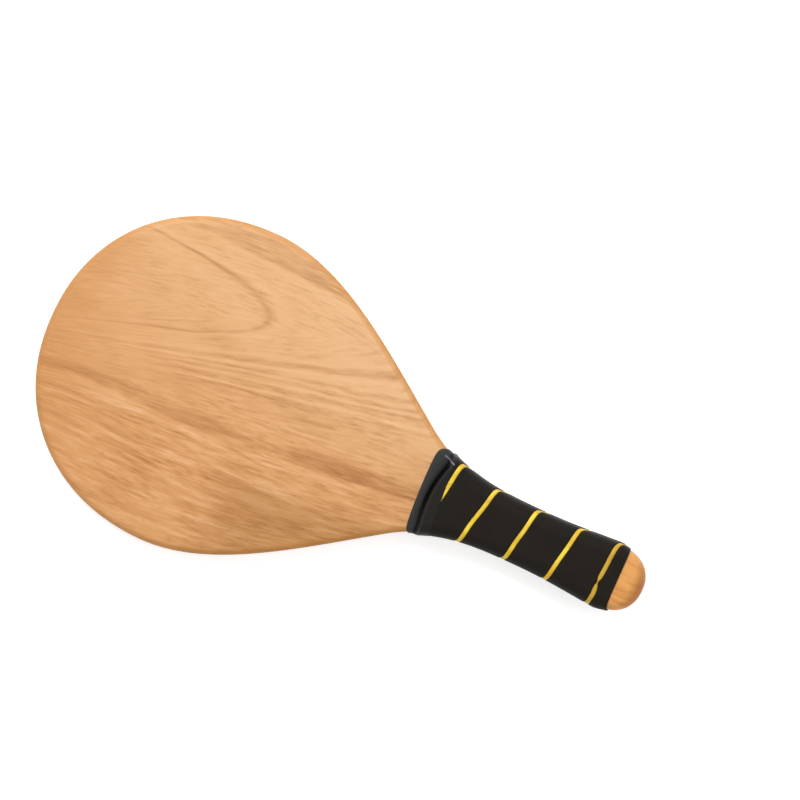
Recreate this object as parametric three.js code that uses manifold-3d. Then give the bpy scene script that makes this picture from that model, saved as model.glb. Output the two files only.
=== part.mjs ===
// Wooden beach paddle. One plank makes the head and the tang, a cheek is glued to each side
// of the tang, and a wound grip covers both. Sizes are in millimetres. X runs from the tip
// of the head to the butt, Y runs across, and +Z points out of the front face.
import * as THREE from 'three';
import { mergeVertices } from 'three/addons/utils/BufferGeometryUtils.js';
import Module from 'manifold-3d';

const wasm = await Module();
wasm.setup();

// Outline of the plank and the bare handle
const racketLength = 450;
const headWidth = 232;
const noseLength = 120; // tip of the head to its widest place
const nosePower = 2.12;
const flankWidth = 80.2; // across the place where the flanks run straight
const flankToButt = 177;
const flankSlopeShare = -0.694;
const waistWidth = 37.6; // narrowest place of the handle
const waistToButt = 82;
const flareWidth = 44.5; // swelling in front of the butt
const flareToButt = 26;
const flareSlopeShare = 0.074;
const buttPower = 2.3;

// Thicknesses of the wood
const bladeThickness = 10;
const handleThickness = 29; // over both cheeks
const gripCorner = 8.5; // radius along the handle's four edges
const roundShare = 0.85; // largest corner radius, as a share of the half thickness
const domeLength = 12; // the butt rounds over in this length
const domePower = 2.2;

// Cheeks: their blunt foot and the ramp that rises from it
const footToMouth = 6.1;
const footHeight = 1.2;
const footBow = 2.6; // the foot and the wrap's mouth stand back by this at the sides
const rampLength = 9;

// Wound grip
const mouthToButt = 168.6;
const tapeThickness = 1.6;
const tapePitch = 31.6; // gained in one turn
const tapeEndToButt = 18.2;
const tapeTip = 1.5; // width of the strip where each tapered end is cut off
const stripeToMouth = 13.2; // first stripe, at the front's middle
const faceClimbShare = 0.0447;
const edgeClimbShare = 0.0144;
const firstPast = 2.8; // the first stripe lies this far past its even place
const secondShort = 1.5; // the second one starts this far short of it
const lastShort = 3.4; // the last one ends this far short of it
const dropShares = [0.2, 0.85]; // of a turn: from past its place to short of it
const easeShares = [0.9, 1.15]; // of a turn: back to its even place
const endShares = [-0.15, 0.17]; // of a turn, counted from the last stripe's middle
const trimWidth = 2.8;
const trimSink = 0.1; // the trim lies this far below the tape
const bandWidth = 14.9;
const bandThickness = 0.5;
const bandLap = 2.3; // the band covers the tape's first edge by this

// Clearances
const gap = 0.3; // left between neighbouring pieces
const seatMargin = 0.5; // planed seat in front of the wrap's mouth
const overrun = 4; // how far a cutting block passes the wood

// Steps of the curves
const noseSteps = 16;
const flankSteps = 18;
const neckSteps = 14;
const gripSteps = 6;
const buttSteps = 12;
const rampSteps = 6;
const rimSteps = 8;
const flatSteps = 3;
const cornerSteps = 5;
const turnSteps = 48;
const tapeSteps = 4;
const bandSteps = 7;

// Places along X
const headTip = -racketLength / 2;
const butt = racketLength / 2;
const mouth = butt - mouthToButt;
const foot = mouth + footToMouth;
const tapeStart = mouth + bandWidth - bandLap;
const tapeEnd = butt - tapeEndToButt;
const firstStripe = mouth + stripeToMouth;
const lastStripe = Math.floor((tapeEnd - firstStripe) / tapePitch); // in turns from the first

// Widths that the outline runs through, each with its slope
const widest = { x: headTip + noseLength, half: headWidth / 2, slope: 0 };
const flank = { x: butt - flankToButt, half: flankWidth / 2, slope: flankSlopeShare };
const waist = { x: butt - waistToButt, half: waistWidth / 2, slope: 0 };
const flare = { x: butt - flareToButt, half: flareWidth / 2, slope: flareSlopeShare };

const bladeHalf = bladeThickness / 2;
const seatHalf = bladeHalf - gap;
const handleHalf = handleThickness / 2;
const tapeInner = gap;
const tapeOuter = tapeInner + tapeThickness;
const bandInner = tapeOuter + gap;
const bandOuter = bandInner + bandThickness;

const { clamp, smoothstep } = THREE.MathUtils;
const clampShare = (value) => clamp(value, 0, 1);
const bulge = (share, power) => (1 - clampShare(share) ** power) ** (1 / power);

// Smooth curve between two widths, each with its slope.
function hermite(a, b, x) {
  const span = b.x - a.x;
  const t = (x - a.x) / span;
  const rise = t * t * (3 - 2 * t);
  const leave = t * (1 - t) * (1 - t) * a.slope;
  const arrive = t * t * (t - 1) * b.slope;
  return a.half + (b.half - a.half) * rise + span * (leave + arrive);
}

// Half of the wood's width at x.
function halfWidth(x) {
  if (x <= widest.x) return widest.half * bulge((widest.x - x) / noseLength, nosePower);
  if (x <= flank.x) return hermite(widest, flank, x);
  if (x <= waist.x) return hermite(flank, waist, x);
  if (x <= flare.x) return hermite(waist, flare, x);
  return flare.half * bulge((x - flare.x) / flareToButt, buttPower);
}

// Height of a quarter ellipse that rises from 0 to 1 over one ramp.
const rampRise = (share) => Math.sqrt(1 - (1 - clampShare(share)) ** 2);
const rampShare = (x) => clampShare((x - foot) / rampLength);

// Half of the handle's thickness at x, over both cheeks.
function halfDepth(x) {
  const rise = (handleHalf - bladeHalf) * rampRise(rampShare(x));
  const shoulder = bladeHalf + Math.max(footHeight, rise);
  return shoulder * bulge((x - butt + domeLength) / domeLength, domePower);
}

// How far a point at a share of a turn stands back along X: nothing at the middle of a face.
function bowAt(share, x) {
  return footBow * (1 - rampShare(x)) * (1 - Math.cos(4 * Math.PI * share)) / 2;
}

// Section of the handle: a rounded rectangle, split into a flat, a corner and a side.
function section(halfWide, halfDeep, corner) {
  const radius = Math.min(corner, roundShare * halfDeep);
  const flat = halfWide - radius;
  const arc = radius * Math.PI / 2;
  const side = halfDeep - radius;
  return { halfWide, halfDeep, radius, flat, arc, side, quarter: flat + arc + side };
}

// Point of a section at a share of the way round, from the front's middle towards +Y.
function sectionPoint(shape, share) {
  const turn = 4 * (share - Math.floor(share));
  const quarter = Math.min(Math.floor(turn), 3);
  const within = quarter % 2 === 0 ? turn - quarter : 1 - (turn - quarter);
  const along = within * shape.quarter;
  const point = { y: shape.halfWide, z: shape.quarter - along };
  if (along <= shape.flat) {
    point.y = along;
    point.z = shape.halfDeep;
  } else if (along <= shape.flat + shape.arc) {
    const angle = (along - shape.flat) / shape.radius;
    point.y = shape.flat + shape.radius * Math.sin(angle);
    point.z = shape.side + shape.radius * Math.cos(angle);
  }
  if (quarter >= 2) point.y = -point.y;
  if (quarter === 1 || quarter === 2) point.z = -point.z;
  return point;
}

// Shares of the way round that meet every end of a flat, corner and side.
function sectionShares(shape) {
  const ways = [];
  for (let i = 0; i < flatSteps; i += 1) ways.push(shape.flat * i / flatSteps);
  for (let i = 0; i < cornerSteps; i += 1) {
    ways.push(shape.flat + shape.arc * i / cornerSteps);
  }
  ways.push(shape.flat + shape.arc);
  const first = ways.map((way) => way / shape.quarter / 4);
  const half = [...first, 0.25, ...first.slice(1).reverse().map((share) => 0.5 - share)];
  return [...half, ...half.map((share) => share + 0.5)];
}

// Point of a layer wound on the full handle, lifted off the wood by an offset.
function wrapPoint(x, share, offset) {
  const shape = section(halfWidth(x) + offset, handleHalf + offset, gripCorner + offset);
  const { y, z } = sectionPoint(shape, share);
  return new THREE.Vector3(x, y, z);
}

// Triangles between neighbouring rings of points, and from the last ring back if it loops.
function joinRings(rings, loops) {
  const count = rings[0].length;
  const faces = [];
  const joints = loops ? rings.length : rings.length - 1;
  for (let i = 0; i < joints; i += 1) {
    const here = i * count;
    const next = ((i + 1) % rings.length) * count;
    for (let j = 0; j < count; j += 1) {
      const k = (j + 1) % count;
      faces.push(here + j, here + k, next + k, here + j, next + k, next + j);
    }
  }
  return faces;
}

function geometryOf(points, faces) {
  const geometry = new THREE.BufferGeometry().setFromPoints(points);
  geometry.setIndex(faces);
  return geometry;
}

function toManifold(geometry) {
  const merged = mergeVertices(geometry);
  return new wasm.Manifold(new wasm.Mesh({
    numProp: 3,
    vertProperties: new Float32Array(merged.attributes.position.array),
    triVerts: new Uint32Array(merged.index.array),
  }));
}

function fromManifold(solid) {
  const { vertProperties, triVerts } = solid.getMesh();
  const geometry = new THREE.BufferGeometry();
  geometry.setAttribute('position', new THREE.BufferAttribute(vertProperties, 3));
  geometry.setIndex(new THREE.BufferAttribute(triVerts, 1));
  return geometry;
}

// A block between two places along X and two heights, wider than the wood.
function block(xLow, xHigh, zLow, zHigh) {
  const wide = headWidth + overrun;
  const box = new THREE.BoxGeometry(xHigh - xLow, wide, zHigh - zLow);
  box.translate((xLow + xHigh) / 2, 0, (zLow + zHigh) / 2);
  box.deleteAttribute('normal');
  box.deleteAttribute('uv');
  return toManifold(box);
}

// Places along X where the outline is drawn, from the head's tip to the butt.
function outlinePlaces() {
  const places = [];
  for (let i = 0; i < noseSteps; i += 1) {
    places.push(widest.x - noseLength * Math.cos(Math.PI / 2 * i / noseSteps));
  }
  const runs = [[widest.x, flank.x, flankSteps], [flank.x, waist.x, neckSteps]];
  runs.push([waist.x, flare.x, gripSteps]);
  for (const [from, to, steps] of runs) {
    for (let i = 0; i < steps; i += 1) places.push(from + (to - from) * i / steps);
  }
  return [...places, ...buttPlaces()];
}

function buttPlaces() {
  const places = [];
  for (let i = 0; i <= buttSteps; i += 1) {
    places.push(flare.x + flareToButt * Math.sin(Math.PI / 2 * i / buttSteps));
  }
  return places;
}

// The closed outline, with the way inwards at each point.
function outline() {
  const places = outlinePlaces();
  const right = places.map((x) => new THREE.Vector2(x, -halfWidth(x)));
  const left = places.slice(1, -1).reverse().map((x) => new THREE.Vector2(x, halfWidth(x)));
  const points = [...right, ...left];
  return points.map((point, i) => {
    const before = points[(i + points.length - 1) % points.length];
    const after = points[(i + 1) % points.length];
    const along = after.clone().sub(before).normalize();
    return { point, inward: new THREE.Vector2(-along.y, along.x) };
  });
}

// Board of the plank's outline with a fully rounded rim.
function board() {
  const edge = outline();
  const rings = [];
  for (let i = 0; i <= rimSteps; i += 1) {
    const angle = Math.PI * (i / rimSteps - 0.5);
    const inset = bladeHalf * (1 - Math.cos(angle));
    const z = bladeHalf * Math.sin(angle);
    rings.push(edge.map(({ point, inward }) => {
      const place = point.clone().addScaledVector(inward, inset);
      return new THREE.Vector3(place.x, place.y, z);
    }));
  }
  const faces = joinRings(rings, false);
  const flat = rings[0].map(({ x, y }) => new THREE.Vector2(x, y));
  const top = edge.length * rimSteps;
  for (const [a, b, c] of THREE.ShapeUtils.triangulateShape(flat, [])) {
    faces.push(c, b, a, top + a, top + b, top + c);
  }
  return toManifold(geometryOf(rings.flat(), faces));
}

// Places along X of the handle's rings, from the cheeks' foot to just short of the butt.
function handlePlaces() {
  const places = [];
  for (let i = 0; i < rampSteps; i += 1) {
    places.push(foot + rampLength * (1 - Math.cos(Math.PI / 2 * i / rampSteps)));
  }
  const shoulder = foot + rampLength;
  for (const [from, to, steps] of [[shoulder, waist.x, neckSteps], [waist.x, flare.x, gripSteps]]) {
    for (let i = 0; i < steps; i += 1) places.push(from + (to - from) * i / steps);
  }
  return [...places, ...buttPlaces().slice(0, -1)];
}

// Body of the bare handle, tang and both cheeks in one, closed in a point at the butt.
function handleBody() {
  const rings = handlePlaces().reverse().map((x) => {
    const shares = sectionShares(section(halfWidth(x), halfDepth(x), gripCorner));
    return shares.map((share) => {
      const back = x + bowAt(share, x);
      const { y, z } = sectionPoint(section(halfWidth(back), halfDepth(x), gripCorner), share);
      return new THREE.Vector3(back, y, z);
    });
  });
  const count = rings[0].length;
  const points = [...rings.flat(), new THREE.Vector3(butt, 0, 0), new THREE.Vector3(foot, 0, 0)];
  const faces = joinRings(rings, false);
  const last = (rings.length - 1) * count;
  for (let i = 0; i < count; i += 1) {
    const next = (i + 1) % count;
    faces.push(points.length - 2, next, i, last + i, last + next, points.length - 1);
  }
  return toManifold(geometryOf(points, faces));
}

// Head and tang in one plank, planed down where cheeks and wrap sit.
function bladeGeometry(body) {
  const end = foot + footBow + gap;
  const beyond = butt + overrun;
  const high = handleHalf + overrun;
  const head = board().subtract(block(end, beyond, -high, high));
  const frontSeat = block(mouth - seatMargin, beyond, seatHalf, high);
  const rearSeat = block(mouth - seatMargin, beyond, -high, -seatHalf);
  return fromManifold(head.add(body).subtract(frontSeat).subtract(rearSeat));
}

// One cheek: the part of the handle's body in front of the tang, or behind it.
function cheekGeometry(body, side) {
  const heights = [side * bladeHalf, side * (handleHalf + overrun)].sort((a, b) => a - b);
  return fromManifold(body.intersect(block(foot - overrun, butt + overrun, ...heights)));
}

// Share of a pitch gained after so many turns: slow across the faces, quick round the sides.
function climb(turn) {
  const angle = 4 * Math.PI * turn;
  return turn - faceClimbShare * Math.sin(angle) + edgeClimbShare * Math.sin(2 * angle);
}

// How far the hand-wound strip lies past its even place, towards the butt.
function stray(turn) {
  const dropped = (firstPast + secondShort) * smoothstep(turn, ...dropShares);
  const eased = secondShort * smoothstep(turn, ...easeShares);
  return firstPast - dropped + eased - lastShort * smoothstep(turn - lastStripe, ...endShares);
}

const stripePlace = (turn) => firstStripe + tapePitch * climb(turn) + stray(turn);

// Turn at which a rising function of the turn reaches a value.
function turnWhere(rising, value) {
  let low = -2;
  let high = 2 + racketLength / tapePitch;
  for (let i = 0; i < 50; i += 1) {
    const middle = (low + high) / 2;
    if (rising(middle) < value) low = middle;
    else high = middle;
  }
  return low;
}

// Even steps of a turn between two turns, with both ends.
function turnsBetween(first, last) {
  const turns = [first];
  for (let i = Math.ceil(first * turnSteps + 0.5); i < last * turnSteps - 0.5; i += 1) {
    turns.push(i / turnSteps);
  }
  return [...turns, last];
}

// Strip wound on the handle: its two edges along X at each turn, and its two offsets.
function woundStrip(turns, lowEdge, highEdge, inner, outer, steps) {
  const rings = turns.map((turn) => {
    const low = lowEdge(turn);
    const high = highEdge(turn);
    const ring = [];
    for (let i = 0; i <= steps; i += 1) {
      ring.push(wrapPoint(low + (high - low) * i / steps, turn, outer));
    }
    for (let i = steps; i >= 0; i -= 1) {
      ring.push(wrapPoint(low + (high - low) * i / steps, turn, inner));
    }
    return ring;
  });
  const faces = joinRings(rings, false);
  const count = rings[0].length;
  const last = (rings.length - 1) * count;
  for (let i = 0; i < steps; i += 1) {
    const [a, b, c, d] = [i, i + 1, count - 2 - i, count - 1 - i];
    faces.push(a, c, b, a, d, c);
    faces.push(last + a, last + b, last + c, last + a, last + c, last + d);
  }
  return geometryOf(rings.flat(), faces);
}

// Edges of the tape, which lies between one stripe and the next and is cut square at both ends.
const halfGroove = trimWidth / 2 + gap;
const tapeLow = (turn) => Math.max(tapeStart, stripePlace(turn) + halfGroove);
const tapeHigh = (turn) => Math.min(tapeEnd, stripePlace(turn + 1) - halfGroove);

function tapeTurns() {
  const first = turnWhere((turn) => stripePlace(turn + 1) - halfGroove, tapeStart + tapeTip);
  const last = turnWhere((turn) => stripePlace(turn) + halfGroove, tapeEnd - tapeTip);
  return turnsBetween(first, last);
}

function trimTurns() {
  const first = turnWhere(stripePlace, tapeStart + trimWidth / 2);
  const last = turnWhere(stripePlace, tapeEnd - trimWidth / 2);
  return turnsBetween(first, last);
}

function tapeGeometry() {
  return woundStrip(tapeTurns(), tapeLow, tapeHigh, tapeInner, tapeOuter, tapeSteps);
}

function trimGeometry() {
  const low = (turn) => stripePlace(turn) - trimWidth / 2;
  const high = (turn) => stripePlace(turn) + trimWidth / 2;
  return woundStrip(trimTurns(), low, high, tapeInner, tapeOuter - trimSink, 1);
}

// Least distance from one turn's high edge to the next turn's low edge, measured on points.
function leastTurnGap(turns, low, high) {
  const last = turns[turns.length - 1];
  const near = 1 / 8;
  let least = Infinity;
  for (const turn of turns.filter((value) => value + 1 <= last)) {
    for (const offset of [tapeInner, tapeOuter]) {
      const here = wrapPoint(high(turn), turn, offset);
      for (const other of turns.filter((value) => Math.abs(value - turn - 1) < near)) {
        least = Math.min(least, here.distanceTo(wrapPoint(low(other), other, offset)));
      }
    }
  }
  return least;
}

// Places along X of the finishing band's profile: flat on the blade, then up the ramp.
const bandFoot = foot - gap - gap;
const bandTop = tapeStart - gap;

function bandPlaces() {
  const places = [mouth];
  for (let i = 0; i <= bandSteps; i += 1) {
    places.push(bandFoot + (bandTop - bandFoot) * (1 - Math.cos(Math.PI / 2 * i / bandSteps)));
  }
  return [...places, mouth + bandWidth];
}

// Loop round the finishing band at x, on its inner surface or lifted off it.
function bandLoop(x, lift) {
  const rise = rampRise((x - bandFoot) / (bandTop - bandFoot));
  const offset = gap + (bandInner - gap) * rise + lift;
  const depth = bladeHalf + (handleHalf + bandInner - bladeHalf) * rise + lift;
  const shapeAt = (place) => section(halfWidth(place) + offset, depth, gripCorner + offset);
  return sectionShares(shapeAt(x)).map((share) => {
    const back = x + bowAt(share, x);
    const { y, z } = sectionPoint(shapeAt(back), share);
    return new THREE.Vector3(back, y, z);
  });
}

// Thin band that closes the wrap's mouth, from the blade up over the cheeks' foot.
function bandGeometry() {
  const places = bandPlaces();
  const inside = places.map((x) => bandLoop(x, 0));
  const outside = places.reverse().map((x) => bandLoop(x, bandThickness));
  const loops = [...outside, ...inside];
  return geometryOf(loops.flat(), joinRings(loops, true));
}

// A named piece with its own surface.
function piece(name, geometry, color, roughness) {
  const material = new THREE.MeshStandardMaterial({ color, roughness, metalness: 0 });
  const mesh = new THREE.Mesh(geometry, material);
  mesh.name = name;
  return mesh;
}

const body = handleBody();
const tapeGap = leastTurnGap(tapeTurns(), tapeLow, tapeHigh);
console.log(`least gap between two turns of the tape: ${tapeGap.toFixed(2)} mm`);

const racket = new THREE.Group();
racket.add(
  piece('blade', bladeGeometry(body), 0xc9935c, 0.5),
  piece('front_cheek', cheekGeometry(body, 1), 0xc08a52, 0.5),
  piece('rear_cheek', cheekGeometry(body, -1), 0xc08a52, 0.5),
  piece('grip_tape', tapeGeometry(), 0x1b1a19, 0.7),
  piece('grip_trim', trimGeometry(), 0xe8b416, 0.55),
  piece('finishing_band', bandGeometry(), 0x0c0c0e, 0.25),
);
racket.position.z = handleHalf + bandOuter;

export default racket;
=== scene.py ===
"""Looks of a wooden beach paddle: varnished plank, two handle cheeks, wound black grip."""
import math

import bmesh
import bpy
import numpy as np
from mathutils import Matrix, Vector


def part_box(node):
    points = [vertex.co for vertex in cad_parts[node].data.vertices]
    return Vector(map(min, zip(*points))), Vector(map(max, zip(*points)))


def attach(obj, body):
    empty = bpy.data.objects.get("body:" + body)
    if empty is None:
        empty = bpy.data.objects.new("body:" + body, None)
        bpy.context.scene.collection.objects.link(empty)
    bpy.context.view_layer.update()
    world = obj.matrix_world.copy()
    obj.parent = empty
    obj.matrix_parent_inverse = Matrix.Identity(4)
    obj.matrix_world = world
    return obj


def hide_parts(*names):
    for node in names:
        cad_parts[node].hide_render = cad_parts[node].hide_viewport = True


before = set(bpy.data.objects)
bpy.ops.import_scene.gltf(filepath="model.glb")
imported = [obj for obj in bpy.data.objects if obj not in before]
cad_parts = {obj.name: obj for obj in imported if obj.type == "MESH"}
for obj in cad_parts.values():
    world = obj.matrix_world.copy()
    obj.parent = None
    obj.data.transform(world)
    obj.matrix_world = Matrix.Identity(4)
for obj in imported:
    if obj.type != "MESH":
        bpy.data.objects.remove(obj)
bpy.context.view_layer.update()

MM = 0.001


def box_mm(node):
    """Lowest and highest corner of a node, in millimetres."""
    return [np.array(corner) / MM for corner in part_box(node)]


# Sizes taken from the frame, in millimetres
blade_low, blade_high = box_mm("blade")
cheek_low, cheek_high = box_mm("front_cheek")
tape_low, tape_high = box_mm("grip_tape")
trim_high = box_mm("grip_trim")[1]
band_low, band_high = box_mm("finishing_band")

HEAD_TIP, BUTT = blade_low[0], blade_high[0]
MID = (blade_low[2] + blade_high[2]) / 2
BLADE_HALF = (blade_high[2] - blade_low[2]) / 2
HANDLE_HALF = cheek_high[2] - MID
FOOT = cheek_low[0]
MOUTH, BAND_EDGE = band_low[0], band_high[0]
TAPE_START, TAPE_END = tape_low[0], tape_high[0]
TAPE_OUTER = tape_high[2] - cheek_high[2]
TRIM_OUTER = trim_high[2] - cheek_high[2]

# Outline of the wood: the same curves as the plank's own
NOSE_LENGTH = 120
NOSE_POWER = 2.12
FLANK_HALF = 40.1
FLANK_TO_BUTT = 177
FLANK_SLOPE = -0.694
WAIST_HALF = 18.8
WAIST_TO_BUTT = 82
FLARE_HALF = 22.25
FLARE_TO_BUTT = 26
FLARE_SLOPE = 0.074
BUTT_POWER = 2.3

# Handle
GRIP_CORNER = 8.5
ROUND_SHARE = 0.85
DOME_LENGTH = 12
DOME_POWER = 2.2
FOOT_HEIGHT = 1.2
RAMP_LENGTH = 9
GLUE_LINE = 0.12

# The crease along the cheek's foot and the wrap's mouth, both by their distance from the middle
# line, and where the band reaches its full height and ends
CREASE_LEAD = 1.2
CREASE_SLANT = 0.04
CREASE_BOW = 0.0062
CREASE_REACH = 22
CHEEK_SETBACK = 1
MOUTH_LEAD = 0.45
MOUTH_SLANT = -0.046
MOUTH_BOW = 0.0013
MOUTH_TURN_LOW = 2
MOUTH_TURN_HIGH = 6.4
MOUTH_TURN_POWER = 10
BAND_SHORT = 0.3
BAND_TOP = TAPE_START - BAND_SHORT
TOP_LENGTH = 5
TOP_BEFORE_TAIL = 1
TAIL_SLANT = 4.6

# Wound grip
TAPE_INNER = 0.3
TAPE_PITCH = 31.6
TAPE_TIP = 1.5
TAPE_LAP = 0.9
MOUTH_TO_STRIPE = 13.5
FIRST_STRIPE = MOUTH + MOUTH_TO_STRIPE
LAST_STRIPE = math.floor((TAPE_END - FIRST_STRIPE) / TAPE_PITCH)
FACE_CLIMB = 0.0447
EDGE_CLIMB = 0.0144
TRIM_WIDTH = 3
GROOVE_GAP = 0.3
HALF_GROOVE = TRIM_WIDTH / 2 + GROOVE_GAP
EDGE_ROUND = 0.9
EDGE_DROP = 0.45

# How far the stripes stray from their even places, and the turns over which they do: the first
# two pairs count from the first stripe, the others from the last
FIRST_PAST = 2.8
SECOND_SHORT = 1.5
LAST_SHORT = 3.4
LAST_PAST = 1
LAST_SWING = 1.8
FIRST_DROP_TURNS = (0.2, 0.85)
SECOND_RISE_TURNS = (0.9, 1.15)
LAST_DROP_TURNS = (-0.15, 0.17)
LAST_PAST_TURNS = (-0.03, -0.12)
LAST_SWING_TURNS = (-0.13, -0.24)
LAST_RETURN_TURNS = (-0.8, -0.45)

# The tape's last edge, and the spot where the ribbon is nipped
TAPE_END_LEAN = 0.4
TAPE_END_SHORT = 0.6
TAPE_END_PAST = 3
TAPE_END_POWER = 6
TAPE_END_DROP = 0.8
TAPE_END_REACH = 9
PINCH_TURN = LAST_STRIPE - 0.045
PINCH_LENGTH = 0.018
PINCH_SHARE = 0.75


# Curves of the wood

HALVINGS = 50


def clamped(share):
    """A share, kept between 0 and 1."""
    return min(max(share, 0), 1)


def bulge(share, power):
    """Quarter of a superellipse: 1 where the share is 0, and 0 where it is 1."""
    return (1 - clamped(share) ** power) ** (1 / power)


def hermite(a, b, x):
    """Smooth curve between two (place, half width, slope) triples."""
    span = b[0] - a[0]
    t = (x - a[0]) / span
    rise = t * t * (3 - 2 * t)
    leave = t * (1 - t) ** 2 * a[2]
    arrive = t * t * (t - 1) * b[2]
    return a[1] + (b[1] - a[1]) * rise + span * (leave + arrive)


WIDEST = (HEAD_TIP + NOSE_LENGTH, blade_high[1], 0)
FLANK = (BUTT - FLANK_TO_BUTT, FLANK_HALF, FLANK_SLOPE)
WAIST = (BUTT - WAIST_TO_BUTT, WAIST_HALF, 0)
FLARE = (BUTT - FLARE_TO_BUTT, FLARE_HALF, FLARE_SLOPE)


def half_width(x):
    """Half of the wood's width at x."""
    if x <= WIDEST[0]:
        return WIDEST[1] * bulge((WIDEST[0] - x) / NOSE_LENGTH, NOSE_POWER)
    if x <= FLANK[0]:
        return hermite(WIDEST, FLANK, x)
    if x <= WAIST[0]:
        return hermite(FLANK, WAIST, x)
    if x <= FLARE[0]:
        return hermite(WAIST, FLARE, x)
    return FLARE[1] * bulge((x - FLARE[0]) / FLARE_TO_BUTT, BUTT_POWER)


def ramp_rise(share):
    """Height of a quarter ellipse that rises from 0 to 1."""
    return math.sqrt(1 - (1 - clamped(share)) ** 2)


def smooth(value, low, high):
    """0 up to low, 1 from high on, and an even swing between them."""
    share = clamped((value - low) / (high - low))
    return share * share * (3 - 2 * share)


def crossing(before, low, high):
    """Place between low and high where a test that starts out true turns false."""
    for _ in range(HALVINGS):
        middle = (low + high) / 2
        if before(middle):
            low = middle
        else:
            high = middle
    return low


def ramp_share(x):
    """Share of the ramp that lies before x."""
    return clamped((x - FOOT) / RAMP_LENGTH)


def half_depth(x):
    """Half of the bare handle's thickness at x."""
    rise = (HANDLE_HALF - BLADE_HALF) * ramp_rise(ramp_share(x))
    shoulder = BLADE_HALF + max(FOOT_HEIGHT, rise)
    return shoulder * bulge((x - BUTT + DOME_LENGTH) / DOME_LENGTH, DOME_POWER)


def section_point(half_wide, half_deep, corner, share):
    """Point (y, z) of a rounded rectangle, from the front's middle towards +Y."""
    radius = min(corner, ROUND_SHARE * half_deep, half_wide)
    flat, side = half_wide - radius, half_deep - radius
    arc = radius * math.pi / 2
    turn = 4 * (share - math.floor(share))
    quarter = min(int(turn), 3)
    within = turn - quarter if quarter % 2 == 0 else 1 - (turn - quarter)
    along = within * (flat + arc + side)
    if along <= flat:
        y, z = along, half_deep
    elif along <= flat + arc:
        angle = (along - flat) / radius
        y, z = flat + radius * math.sin(angle), side + radius * math.cos(angle)
    else:
        y, z = half_wide, flat + arc + side - along
    return (-y if quarter >= 2 else y), (-z if quarter in (1, 2) else z)


def sideways(share):
    """0 at the middle of the front and rear, and 1 at the two sides."""
    return (1 - math.cos(4 * math.pi * share)) / 2


def mouth_side(share):
    """Distance from the middle line of a point at the wrap's mouth, at a share of a turn."""
    return section_point(half_width(FOOT), BLADE_HALF, GRIP_CORNER, share)[0]


def crease_place(share):
    """Place along X of the crease at the cheek's foot, at a share of a turn."""
    y = min(max(mouth_side(share), -CREASE_REACH), CREASE_REACH)
    return FOOT + CREASE_LEAD + CREASE_SLANT * y + CREASE_BOW * y * y


def mouth_place(share):
    """Place along X of the wrap's mouth, which turns back as it goes over the rim."""
    y = mouth_side(share)
    reach = MOUTH_TURN_HIGH if y > 0 else MOUTH_TURN_LOW
    turned = reach * (abs(y) / mouth_side(0.25)) ** MOUTH_TURN_POWER
    return MOUTH + MOUTH_LEAD + MOUTH_SLANT * y + MOUTH_BOW * y * y + turned


def tail_place(share):
    """Place along X of the band's end on the tape, which it crosses at a slant."""
    return BAND_EDGE + TAIL_SLANT * (1 - math.sin(2 * math.pi * share)) / 2


def bowed(x, share):
    """True place along X of a point of the band, from its place on an even, straight band."""
    crease, tail = crease_place(share), tail_place(share)
    top = min(max(BAND_TOP, crease + TOP_LENGTH), tail - TOP_BEFORE_TAIL)
    return np.interp(x, (MOUTH, FOOT, BAND_TOP, BAND_EDGE), (mouth_place(share), crease, top, tail))


def cheek_place(x, share):
    """True place along X of a point of the handle's wood, whose foot follows the crease."""
    foot = crease_place(share) + CHEEK_SETBACK
    return x + (foot - FOOT) * (1 - ramp_share(x))


# Meshes

SHARP_ANGLE = math.radians(40)


def add_object(name, data):
    """A new object of the scene that shows this data."""
    item = bpy.data.objects.new(name, data)
    bpy.context.scene.collection.objects.link(item)
    return item


def add_mesh(name, points, faces, material):
    """A piece of the object on its one body, from points in millimetres."""
    mesh = bpy.data.meshes.new(name)
    mesh.from_pydata([tuple(np.array(p) * MM) for p in points], [], faces)
    mesh.validate()
    mesh.update()
    mesh.shade_smooth()
    mesh.set_sharp_from_angle(angle=SHARP_ANGLE)
    mesh.materials.append(material)
    piece = add_object(name, mesh)
    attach(piece, "root")
    return piece


def skin(rings, loops=False, closed=True, capped=True):
    """Points and faces of a surface through rings of as many points each."""
    count = len(rings[0])
    faces = []
    for i in range(len(rings) if loops else len(rings) - 1):
        here, there = i * count, (i + 1) % len(rings) * count
        for j in range(count if closed else count - 1):
            k = (j + 1) % count
            faces.append((here + j, here + k, there + k, there + j))
    if capped:
        last = (len(rings) - 1) * count
        faces += [tuple(range(count))[::-1], tuple(range(last, last + count))]
    return [point for ring in rings for point in ring], faces


def spread(first, last, steps):
    """Even places from first to last, both of them in."""
    return [first + (last - first) * i / steps for i in range(steps + 1)]


# The plank's head, with its fully rounded rim

NOSE_STEPS = 90
FLANK_STEPS = 60
NECK_STEPS = 14
RIM_STEPS = 20
CAP_INSET = 0.6
JOIN_PAST_FOOT = 4
JOIN = FOOT + JOIN_PAST_FOOT


def head_places():
    """Places along X of the head's outline, from its tip to where the tang takes over."""
    nose = [WIDEST[0] - NOSE_LENGTH * math.cos(math.pi / 2 * i / NOSE_STEPS)
            for i in range(NOSE_STEPS)]
    flank = spread(WIDEST[0], FLANK[0], FLANK_STEPS)[:-1]
    return nose + flank + spread(FLANK[0], JOIN, NECK_STEPS)


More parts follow.
